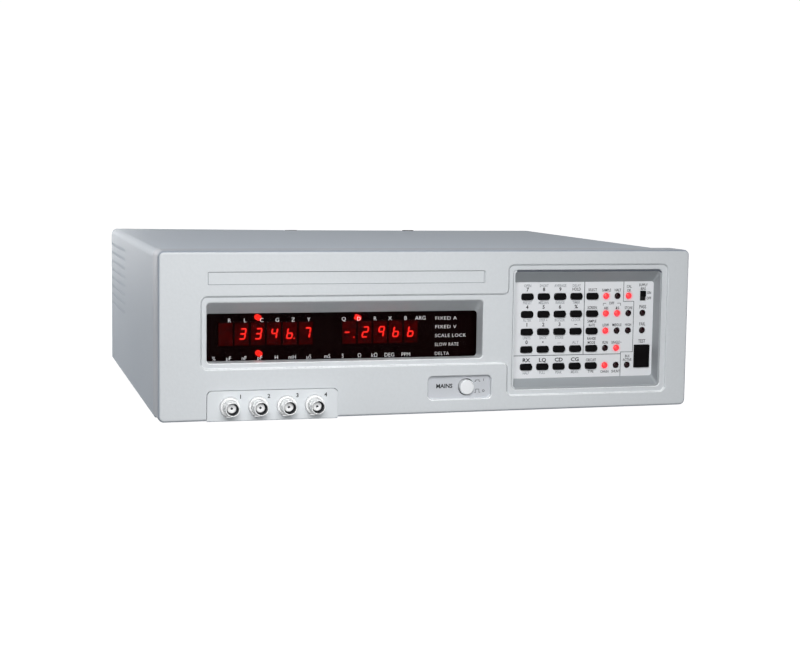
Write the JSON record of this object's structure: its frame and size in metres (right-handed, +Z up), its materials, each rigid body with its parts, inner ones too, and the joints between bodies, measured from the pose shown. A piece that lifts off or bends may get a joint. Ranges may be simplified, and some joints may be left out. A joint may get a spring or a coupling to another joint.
{
  "type": "lcr meter",
  "caption": "Bench component-measuring instrument: wide low case, red display window, recessed keypad, coaxial test jacks, push-button power switch and folding front leg.",
  "frame": {"origin": "under the middle of the whole instrument, on the surface that it stands on", "axes": "+X to the right along the front, +Y from the front to the back, +Z up"},
  "size_m": [0.375, 0.343, 0.1135],
  "materials": {
    "bezel_plastic": "fine moulded texture, light grey",
    "surround_plastic": "fine moulded texture, mid grey",
    "overlay_sheet": "printed polyester sheet, light grey",
    "cover_paint": "textured paint, blue-grey",
    "red_window": "dark red clear plastic, glossy",
    "key_plastic": "black, satin",
    "black_plastic": "black, satin",
    "button_plastic": "white, semi-gloss",
    "plate_metal": "light grey paint",
    "white_insulator": "white, satin",
    "nickel_plate": "bright nickel",
    "circuit_board": "green solder resist",
    "transformer_iron": "varnished laminations",
    "sink_aluminium": "plain extruded",
    "foot_rubber": "dark grey, matt",
    "ribbon_cable": "grey flat cable",
    "switch_steel": "plain steel",
    "bail_steel": "zinc-plated wire"
  },
  "bodies": {
    "case": {"front_bezel": "bezel_plastic", "keypad_surround": "surround_plastic", "keypad_overlay": "overlay_sheet", "keypad_board": "circuit_board", "display_window": "red_window", "display_board": "circuit_board", "power_switch": "black_plastic", "connector_plate": "plate_metal", "bnc_insulator": "white_insulator", "bnc_jack_1": "nickel_plate", "bnc_jack_2": "nickel_plate", "bnc_jack_3": "nickel_plate", "bnc_jack_4": "nickel_plate", "top_cover": "cover_paint", "bottom_pan": "cover_paint", "rear_panel": "cover_paint", "power_inlet": "black_plastic", "voltage_selector": "switch_steel", "main_board": "circuit_board", "power_transformer": "transformer_iron", "heat_sink": "sink_aluminium", "display_ribbon": "ribbon_cable", "keypad_ribbon": "ribbon_cable", "front_left_foot": "foot_rubber", "front_right_foot": "foot_rubber", "rear_left_foot": "foot_rubber", "rear_right_foot": "foot_rubber", "rear_left_bumper": "foot_rubber", "rear_right_bumper": "foot_rubber"},
    "key_row1_col1": {"key_row1_col1": "key_plastic"},
    "key_row1_col2": {"key_row1_col2": "key_plastic"},
    "key_row1_col3": {"key_row1_col3": "key_plastic"},
    "key_row1_col4": {"key_row1_col4": "key_plastic"},
    "key_row1_col5": {"key_row1_col5": "key_plastic"},
    "key_row2_col1": {"key_row2_col1": "key_plastic"},
    "key_row2_col2": {"key_row2_col2": "key_plastic"},
    "key_row2_col3": {"key_row2_col3": "key_plastic"},
    "key_row2_col4": {"key_row2_col4": "key_plastic"},
    "key_row2_col5": {"key_row2_col5": "key_plastic"},
    "key_row3_col1": {"key_row3_col1": "key_plastic"},
    "key_row3_col2": {"key_row3_col2": "key_plastic"},
    "key_row3_col3": {"key_row3_col3": "key_plastic"},
    "key_row3_col4": {"key_row3_col4": "key_plastic"},
    "key_row3_col5": {"key_row3_col5": "key_plastic"},
    "key_row4_col1": {"key_row4_col1": "key_plastic"},
    "key_row4_col2": {"key_row4_col2": "key_plastic"},
    "key_row4_col3": {"key_row4_col3": "key_plastic"},
    "key_row4_col4": {"key_row4_col4": "key_plastic"},
    "key_row4_col5": {"key_row4_col5": "key_plastic"},
    "key_row5_col1": {"key_row5_col1": "key_plastic"},
    "key_row5_col2": {"key_row5_col2": "key_plastic"},
    "key_row5_col3": {"key_row5_col3": "key_plastic"},
    "key_row5_col4": {"key_row5_col4": "key_plastic"},
    "key_row5_col5": {"key_row5_col5": "key_plastic"},
    "start_key": {"start_key": "key_plastic"},
    "bias_switch_knob": {"bias_switch_knob": "black_plastic"},
    "power_button": {"power_button": "button_plastic"},
    "fuse_drawer": {"fuse_drawer": "black_plastic"},
    "selector_slider": {"selector_slider": "black_plastic"},
    "tilt_bail": {"tilt_bail": "bail_steel"}
  },
  "joints": [
    {"name": "key_row1_col1_press", "type": "slide", "parent": "case", "child": "key_row1_col1", "axis": [0, 1, 0], "range_m": [0, 0.0012], "stiffness_N_per_m": 400, "springref_m": -0.0005},
    {"name": "key_row1_col2_press", "type": "slide", "parent": "case", "child": "key_row1_col2", "axis": [0, 1, 0], "range_m": [0, 0.0012], "stiffness_N_per_m": 400, "springref_m": -0.0005},
    {"name": "key_row1_col3_press", "type": "slide", "parent": "case", "child": "key_row1_col3", "axis": [0, 1, 0], "range_m": [0, 0.0012], "stiffness_N_per_m": 400, "springref_m": -0.0005},
    {"name": "key_row1_col4_press", "type": "slide", "parent": "case", "child": "key_row1_col4", "axis": [0, 1, 0], "range_m": [0, 0.0012], "stiffness_N_per_m": 400, "springref_m": -0.0005},
    {"name": "key_row1_col5_press", "type": "slide", "parent": "case", "child": "key_row1_col5", "axis": [0, 1, 0], "range_m": [0, 0.0012], "stiffness_N_per_m": 400, "springref_m": -0.0005},
    {"name": "key_row2_col1_press", "type": "slide", "parent": "case", "child": "key_row2_col1", "axis": [0, 1, 0], "range_m": [0, 0.0012], "stiffness_N_per_m": 400, "springref_m": -0.0005},
    {"name": "key_row2_col2_press", "type": "slide", "parent": "case", "child": "key_row2_col2", "axis": [0, 1, 0], "range_m": [0, 0.0012], "stiffness_N_per_m": 400, "springref_m": -0.0005},
    {"name": "key_row2_col3_press", "type": "slide", "parent": "case", "child": "key_row2_col3", "axis": [0, 1, 0], "range_m": [0, 0.0012], "stiffness_N_per_m": 400, "springref_m": -0.0005},
    {"name": "key_row2_col4_press", "type": "slide", "parent": "case", "child": "key_row2_col4", "axis": [0, 1, 0], "range_m": [0, 0.0012], "stiffness_N_per_m": 400, "springref_m": -0.0005},
    {"name": "key_row2_col5_press", "type": "slide", "parent": "case", "child": "key_row2_col5", "axis": [0, 1, 0], "range_m": [0, 0.0012], "stiffness_N_per_m": 400, "springref_m": -0.0005},
    {"name": "key_row3_col1_press", "type": "slide", "parent": "case", "child": "key_row3_col1", "axis": [0, 1, 0], "range_m": [0, 0.0012], "stiffness_N_per_m": 400, "springref_m": -0.0005},
    {"name": "key_row3_col2_press", "type": "slide", "parent": "case", "child": "key_row3_col2", "axis": [0, 1, 0], "range_m": [0, 0.0012], "stiffness_N_per_m": 400, "springref_m": -0.0005},
    {"name": "key_row3_col3_press", "type": "slide", "parent": "case", "child": "key_row3_col3", "axis": [0, 1, 0], "range_m": [0, 0.0012], "stiffness_N_per_m": 400, "springref_m": -0.0005},
    {"name": "key_row3_col4_press", "type": "slide", "parent": "case", "child": "key_row3_col4", "axis": [0, 1, 0], "range_m": [0, 0.0012], "stiffness_N_per_m": 400, "springref_m": -0.0005},
    {"name": "key_row3_col5_press", "type": "slide", "parent": "case", "child": "key_row3_col5", "axis": [0, 1, 0], "range_m": [0, 0.0012], "stiffness_N_per_m": 400, "springref_m": -0.0005},
    {"name": "key_row4_col1_press", "type": "slide", "parent": "case", "child": "key_row4_col1", "axis": [0, 1, 0], "range_m": [0, 0.0012], "stiffness_N_per_m": 400, "springref_m": -0.0005},
    {"name": "key_row4_col2_press", "type": "slide", "parent": "case", "child": "key_row4_col2", "axis": [0, 1, 0], "range_m": [0, 0.0012], "stiffness_N_per_m": 400, "springref_m": -0.0005},
    {"name": "key_row4_col3_press", "type": "slide", "parent": "case", "child": "key_row4_col3", "axis": [0, 1, 0], "range_m": [0, 0.0012], "stiffness_N_per_m": 400, "springref_m": -0.0005},
    {"name": "key_row4_col4_press", "type": "slide", "parent": "case", "child": "key_row4_col4", "axis": [0, 1, 0], "range_m": [0, 0.0012], "stiffness_N_per_m": 400, "springref_m": -0.0005},
    {"name": "key_row4_col5_press", "type": "slide", "parent": "case", "child": "key_row4_col5", "axis": [0, 1, 0], "range_m": [0, 0.0012], "stiffness_N_per_m": 400, "springref_m": -0.0005},
    {"name": "key_row5_col1_press", "type": "slide", "parent": "case", "child": "key_row5_col1", "axis": [0, 1, 0], "range_m": [0, 0.0012], "stiffness_N_per_m": 400, "springref_m": -0.0005},
    {"name": "key_row5_col2_press", "type": "slide", "parent": "case", "child": "key_row5_col2", "axis": [0, 1, 0], "range_m": [0, 0.0012], "stiffness_N_per_m": 400, "springref_m": -0.0005},
    {"name": "key_row5_col3_press", "type": "slide", "parent": "case", "child": "key_row5_col3", "axis": [0, 1, 0], "range_m": [0, 0.0012], "stiffness_N_per_m": 400, "springref_m": -0.0005},
    {"name": "key_row5_col4_press", "type": "slide", "parent": "case", "child": "key_row5_col4", "axis": [0, 1, 0], "range_m": [0, 0.0012], "stiffness_N_per_m": 400, "springref_m": -0.0005},
    {"name": "key_row5_col5_press", "type": "slide", "parent": "case", "child": "key_row5_col5", "axis": [0, 1, 0], "range_m": [0, 0.0012], "stiffness_N_per_m": 400, "springref_m": -0.0005},
    {"name": "start_key_press", "type": "slide", "parent": "case", "child": "start_key", "axis": [0, 1, 0], "range_m": [0, 0.0012], "stiffness_N_per_m": 400, "springref_m": -0.0005},
    {"name": "power_button_push", "type": "slide", "parent": "case", "child": "power_button", "axis": [0, 1, 0], "range_m": [-0.003, 0.001]},
    {"name": "bias_switch_slide", "type": "slide", "parent": "case", "child": "bias_switch_knob", "axis": [0, 0, -1], "range_m": [0, 0.0028]},
    {"name": "selector_slide", "type": "slide", "parent": "case", "child": "selector_slider", "axis": [1, 0, 0], "range_m": [0, 0.005]},
    {"name": "fuse_drawer_pull", "type": "slide", "parent": "case", "child": "fuse_drawer", "axis": [0, 1, 0], "range_m": [0, 0.018]},
    {"name": "tilt_bail_hinge", "type": "hinge", "parent": "case", "child": "tilt_bail", "pos_m": [0, -0.1025, 0.0026], "axis": [-1, 0, 0], "range_deg": [0, 100]}
  ]
}
